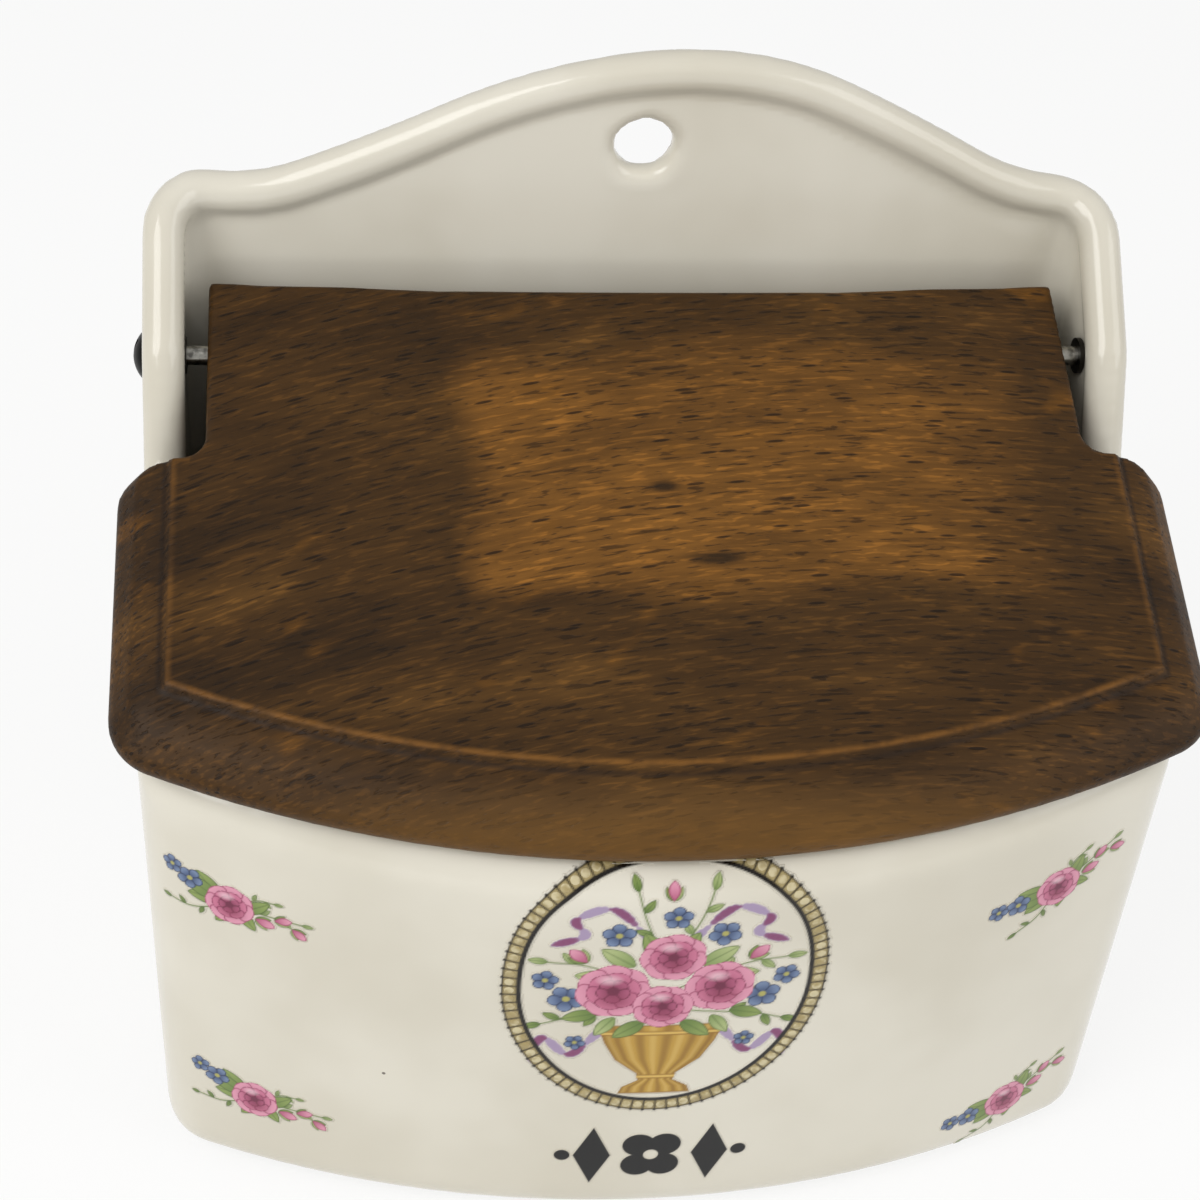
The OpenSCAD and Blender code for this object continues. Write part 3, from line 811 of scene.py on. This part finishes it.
def draw_spray(sheet, at, slope):
    """Corner spray: one rose among leaves, blue flowers to the left, buds to the right."""
    cos, sin = math.cos(slope), math.sin(slope)

    def place(x, y):
        return (at[0] + x * cos - y * sin, at[1] + x * sin + y * cos)

    twig(sheet, [place(0, 0), place(-5, -4.2), place(-9.5, -5.2)], 2.0)
    twig(sheet, [place(1, 1), place(4, 4), place(6.5, 4.8)], 1.8, 1)
    twig(sheet, [place(0, 0), place(7, 1.6), place(12, 2.8)], 2.1, 1)
    for x, angle, length in (
        (-1.5, 2.5, 7.0), (-1, 3.4, 6.4), (-2, 2.9, 7.5), (1.5, 5.6, 5.2), (2.5, 0.9, 5.6),
        (1, 4.3, 5.6),
    ):
        leaf(sheet, place(x, 0), slope + angle, length)
    blossom(sheet, place(-7.6, 1.6), 2.4, slope)
    blossom(sheet, place(-11.2, 2.6), 2.0, slope + 0.7)
    rose(sheet, place(0, 0), 4.4, slope + 0.4)
    bud(sheet, place(6.4, -0.4), 1.7, slope)
    bud(sheet, place(9.0, 1.8), 1.5, slope + 0.5)
    bud(sheet, place(12.2, 0.4), 1.5, slope - 0.4)


def draw_ornament(sheet, at):
    """Plain black ornament: a four-lobed flower between two lozenges and two dots."""
    for i in range(4):
        angle = math.pi * (0.25 + 0.5 * i)
        lobe = (at[0] + 3.2 * math.cos(angle), at[1] + 3.8 * math.sin(angle))
        sheet.paint(sheet.disc(lobe, 2.9), ORNAMENT_INK)
    sheet.erase(sheet.disc(at, 1.3))
    for side in (-1, 1):
        ds = np.abs(sheet.s - at[0] - side * 10.4)
        dv = np.abs(sheet.v - at[1])
        sheet.paint((ds / 3.3 + dv / 7.6 - 1) * 3.0, ORNAMENT_INK)
        sheet.paint(sheet.disc((at[0] + side * 15.6, at[1]), 1.4), ORNAMENT_INK)


def skin_on_front(name, sheet, surface, material):
    """A closed skin under the inked part of a transfer, laid on the glazed surface."""
    rows, columns = sheet.s.shape
    coarse = 4
    origin, out = way_out(sheet.s, sheet.v)
    few, ways = origin[::coarse, ::coarse], out[::coarse, ::coarse]
    height = surface_height(surface, few.reshape(-1, 3), ways.reshape(-1, 3))
    height = even_out(height.reshape(few.shape[:2]), 2)
    # The heights are taken at every fourth point and drawn out to the fine grid.
    for count in (columns, rows):
        places = np.minimum(np.arange(count) / coarse, height.shape[1] - 1)
        height = np.stack([np.interp(places, np.arange(height.shape[1]), line) for line in height]).T
    height = even_out(height, 6)
    top = (origin + (height + PRINT_LIFT)[..., None] * out).reshape(-1, 3) * MM
    under = (origin + (height - PRINT_DEPTH)[..., None] * out).reshape(-1, 3) * MM
    inked = sheet.ink[..., 3] > 0.004
    kept = inked[:-1, :-1] | inked[1:, :-1] | inked[:-1, 1:] | inked[1:, 1:]
    number = np.arange(rows * columns).reshape(rows, columns)
    corners = np.stack([number[:-1, :-1], number[:-1, 1:], number[1:, 1:], number[1:, :-1]], axis=-1)
    quads = corners[kept]
    around = np.pad(kept, 1)
    total = rows * columns
    walls = []
    for k, neighbour in enumerate(
        (around[:-2, 1:-1], around[1:-1, 2:], around[2:, 1:-1], around[1:-1, :-2])
    ):
        edge = kept & ~neighbour
        a, b = corners[edge][:, k], corners[edge][:, (k + 1) % 4]
        walls.append(np.stack([b, a, a + total, b + total], axis=-1))
    faces = np.vstack([quads, quads[:, ::-1] + total] + walls)
    used, renumbered = np.unique(faces, return_inverse=True)
    points = np.vstack([top, under])[used]
    mesh = bpy.data.meshes.new(name)
    mesh.from_pydata(points, [], renumbered.reshape(-1, 4))
    smooth = np.zeros(len(faces), dtype=bool)
    smooth[: len(quads)] = True
    mesh.polygons.foreach_set("use_smooth", smooth)
    inks = np.tile(sheet.ink.reshape(-1, 4), (2, 1))[used]
    mesh.color_attributes.new("ink", "FLOAT_COLOR", "POINT").data.foreach_set("color", inks.ravel())
    mesh.materials.append(material)
    mesh.update()
    return ride_box(name, mesh)


def ride_box(name, mesh):
    """A piece of the glazed box's decoration."""
    piece = put(name, mesh)
    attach(piece, "box")
    return piece


# ---------------------------------------------------------------- beads of the border
def bead_tree():
    """Sets flattened beads along a closed path, each turned to follow it."""
    tree = bpy.data.node_groups.new("beads_along_a_path", "GeometryNodeTree")
    tree.is_modifier = True
    face = tree.interface
    face.new_socket("Path", in_out="INPUT", socket_type="NodeSocketGeometry")
    for name, kind in (
        ("Count", "NodeSocketInt"),
        ("Bead size", "NodeSocketVector"),
        ("Material", "NodeSocketMaterial"),
    ):
        face.new_socket(name, in_out="INPUT", socket_type=kind)
    face.new_socket("Beads", in_out="OUTPUT", socket_type="NodeSocketGeometry")
    given = add(tree, "NodeGroupInput").outputs
    curve = add(tree, "GeometryNodeMeshToCurve", {"Mesh": given["Path"]})
    even = add(
        tree,
        "GeometryNodeResampleCurve",
        {"Curve": curve.outputs["Curve"], "Count": given["Count"]},
    )
    ball = add(tree, "GeometryNodeMeshUVSphere", {"Segments": 10, "Rings": 6, "Radius": 0.5})
    bead = add(
        tree,
        "GeometryNodeTransform",
        {"Geometry": ball.outputs["Mesh"], "Scale": given["Bead size"]},
    )
    along = add(tree, "GeometryNodeInputTangent")
    turned = add(
        tree, "FunctionNodeAlignRotationToVector", {"Vector": along.outputs[0]}, axis="X",
        pivot_axis="Z",
    )
    placed = add(
        tree,
        "GeometryNodeInstanceOnPoints",
        {
            "Points": even.outputs["Curve"],
            "Instance": bead.outputs["Geometry"],
            "Rotation": turned.outputs["Rotation"],
        },
    )
    real = add(tree, "GeometryNodeRealizeInstances", {"Geometry": placed.outputs["Instances"]})
    dressed = add(
        tree,
        "GeometryNodeSetMaterial",
        {"Geometry": real.outputs["Geometry"], "Material": given["Material"]},
    )
    add(tree, "NodeGroupOutput", {"Beads": dressed.outputs["Geometry"]})
    return tree


def lay_beads(surface, material):
    """Makes the beads on the flat, then bends them onto the glazed front."""
    path = ring_outline(RING_BAND / 2 - 0.12, 720)
    count = len(path)
    mesh = bpy.data.meshes.new("bead_path")
    mesh.from_pydata(
        np.column_stack([path, np.zeros(count)]) * MM, [(i, (i + 1) % count) for i in range(count)], []
    )
    flat = put("bead_path", mesh)
    tree = bead_tree()
    beads = flat.modifiers.new("beads", "NODES")
    beads.node_group = tree
    ids = {item.name: item.identifier for item in tree.interface.items_tree if item.in_out == "INPUT"}
    beads[ids["Count"]] = BEADS
    beads[ids["Bead size"]] = BEAD_SIZE
    beads[ids["Material"]] = material
    evaluated = flat.evaluated_get(bpy.context.evaluated_depsgraph_get())
    made = bpy.data.meshes.new_from_object(evaluated)
    flat.modifiers.clear()
    bpy.data.objects.remove(flat)
    points = read_points(made) / MM
    origin, out = way_out(points[:, 0], points[:, 1])
    height = surface_height(surface, origin, out) + points[:, 2] + 0.08
    write_points(made, (origin + height[:, None] * out) * MM)
    made.shade_smooth()
    return ride_box("border_beads", made)


# ---------------------------------------------------------------- pieces
GLAZE = glazed_earthenware()
PRINT = printed_transfer()
BEECH = stained_beech()

body = softened("ceramic_box", "glazed_box", BOX_VOXEL, 10, GLAZE)
lean_crown(body)
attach(body, "box")
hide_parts("ceramic_box")

board = softened("lid", "beech_lid", LID_VOXEL, 5, BEECH)
true_rear_edge(board)
mark_lid(board)
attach(board, "lid")
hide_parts("lid")

glazed_surface = BVHTree.FromPolygons(
    [tuple(p) for p in read_points(body.data)], [tuple(f.vertices) for f in body.data.polygons]
)

# Each transfer is a sheet from left to right and from low to high, with the step of its grid.
medallion = Transfer(-29.5, 27.5, 28.5, 92.5, 0.25)
draw_bouquet(medallion)
draw_ring(medallion)
skin_on_front("flower_medallion", medallion, glazed_surface, PRINT)
lay_beads(glazed_surface, printed_beads())

ornament = Transfer(-19, 18, 8.5, 27, 0.16)
draw_ornament(ornament, (-0.2, 17.8))
skin_on_front("black_ornament", ornament, glazed_surface, PRINT)

# Corner sprays: middle of the rose and slope of each, as the photograph shows them.
for name, at, slope in (
    ("upper_left_spray", (-73.0, 68.8), -0.30),
    ("upper_right_spray", (67.2, 69.9), 0.42),
    ("lower_left_spray", (-70.5, 21.0), -0.28),
    ("lower_right_spray", (68.6, 14.2), 0.40),
):
    spray = Transfer(at[0] - 16, at[0] + 17, at[1] - 10, at[1] + 12, 0.2)
    draw_spray(spray, at, slope)
    skin_on_front(name, spray, glazed_surface, PRINT)

SCREW_STEEL = screw_steel()
DARK_STEEL = tarnished_and_shaded_steel()
for side in ("left", "right"):
    frame["nodes"][side + "_pivot_screw"].material_slots[0].material = SCREW_STEEL
    frame["nodes"][side + "_retaining_washer"].material_slots[0].material = DARK_STEEL


# ---------------------------------------------------------------- floor, light and camera
def lay_floor():
    """Plain white ground, a flat square that is also the backdrop behind the box."""
    material, tree = new_material("white_paper")
    shader = add(
        tree, "ShaderNodeBsdfPrincipled", {"Base Color": colour("#f4f4f2"), "Roughness": 0.9}
    )
    white = add(tree, "ShaderNodeEmission", {"Color": (1, 1, 1, 1), "Strength": 1.0})
    rays = add(tree, "ShaderNodeLightPath").outputs
    seen = add(
        tree, "ShaderNodeMath", {0: rays["Is Camera Ray"], 1: rays["Is Glossy Ray"]}, operation="MAXIMUM"
    )
    # Part of the paper's own shade stays, so that the floor keeps the object's shadow.
    plain = add(tree, "ShaderNodeMath", {0: seen, 1: 0.8}, operation="MULTIPLY")
    finish_material(tree, add(tree, "ShaderNodeMixShader", {0: plain, 1: shader, 2: white}))
    size = 3.0
    mesh = bpy.data.meshes.new("floor")
    mesh.from_pydata(
        [(-size, -size, 0), (size, -size, 0), (size, size, 0), (-size, size, 0)], [], [(0, 1, 2, 3)]
    )
    mesh.materials.append(material)
    floor = put("floor", mesh)


def soft_box(name, place, target, width, height, power):
    """A rectangular lamp aimed at a target, with its power in watts."""
    data = bpy.data.lights.new(name, "AREA")
    data.shape = "RECTANGLE"
    data.size, data.size_y, data.energy = width, height, power
    lamp = put(name, data)
    lamp.location = place
    lamp.rotation_euler = (Vector(target) - Vector(place)).to_track_quat("-Z", "Y").to_euler()


def light_scene():
    """A window from the left, a weaker fill from the right and an even white room."""
    middle = (0, 0, 0.09)
    soft_box("window_left", (-0.7, -0.6, 0.9), middle, 0.7, 0.9, 8)
    soft_box("fill_right", (0.9, -0.5, 0.7), middle, 0.8, 0.8, 3.5)
    world = bpy.data.worlds.new("studio")
    bpy.context.scene.world = world
    world.use_nodes = True
    tree = world.node_tree
    tree.nodes.clear()
    seen = add(tree, "ShaderNodeLightPath").outputs["Is Camera Ray"]
    strength = add(tree, "ShaderNodeMath", {0: seen, 1: 0.56}, operation="MAXIMUM")
    sky = add(tree, "ShaderNodeBackground", {"Color": (1, 1, 1, 1), "Strength": strength})
    add(tree, "ShaderNodeOutputWorld", {"Surface": sky})


def place_camera():
    """The photograph's view: from the front, a little to the left and well above."""
    turn, pitch, roll = 0.15, 0.61, 0.08
    forward = Vector(
        (math.sin(turn) * math.cos(pitch), math.cos(turn) * math.cos(pitch), -math.sin(pitch))
    )
    level = Vector((math.cos(turn), -math.sin(turn), 0))
    upright = level.cross(forward)
    right = math.cos(roll) * level + math.sin(roll) * upright
    up = -math.sin(roll) * level + math.cos(roll) * upright
    data = bpy.data.cameras.new("camera")
    data.sensor_width = 36
    data.lens = 72.81
    data.shift_x, data.shift_y = -0.0107, -0.0963
    camera = put("camera", data)
    stand = Matrix.Translation(Vector((-57.15, -322.98, 351.41)) * MM)
    camera.matrix_world = stand @ Matrix((right, up, -forward)).transposed().to_4x4()
    bpy.context.scene.camera = camera


lay_floor()
light_scene()
place_camera()
bpy.context.scene.view_settings.view_transform = "Standard"
